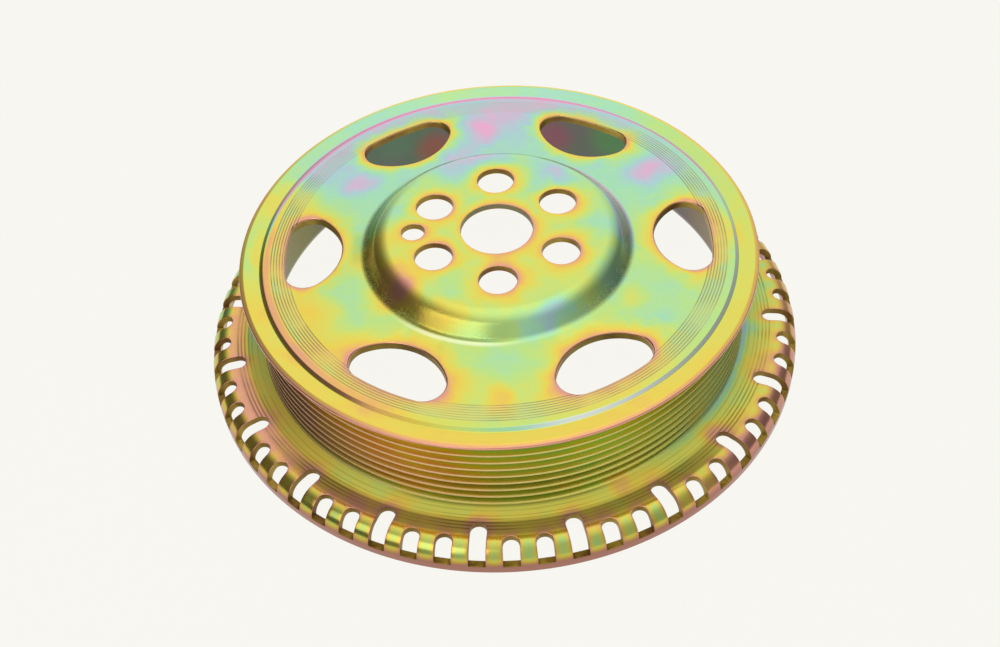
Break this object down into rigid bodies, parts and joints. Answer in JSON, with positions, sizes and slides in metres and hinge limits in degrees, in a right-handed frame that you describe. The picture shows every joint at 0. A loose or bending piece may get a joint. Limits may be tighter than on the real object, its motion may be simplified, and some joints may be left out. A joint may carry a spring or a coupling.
{
  "type": "crankshaft reluctor wheel",
  "caption": "Pressed steel crank wheel with a ribbed belt drum and a slotted rim that a speed sensor reads; bolts to the crankshaft nose.",
  "frame": {"origin": "centre of the hub's rear seating face, on the crank axis", "axes": "+Z along the crank axis, away from the engine; -X through the locating hole; +Y through the middle of a bolt hole"},
  "size_m": [0.2134, 0.2134, 0.0494],
  "materials": {
    "zinc_plated_steel": "yellow zinc plating with a passivate sheen that drifts between gold, green and pink"
  },
  "bodies": {
    "root": {"reluctor_wheel": "zinc_plated_steel"}
  },
  "joints": []
}
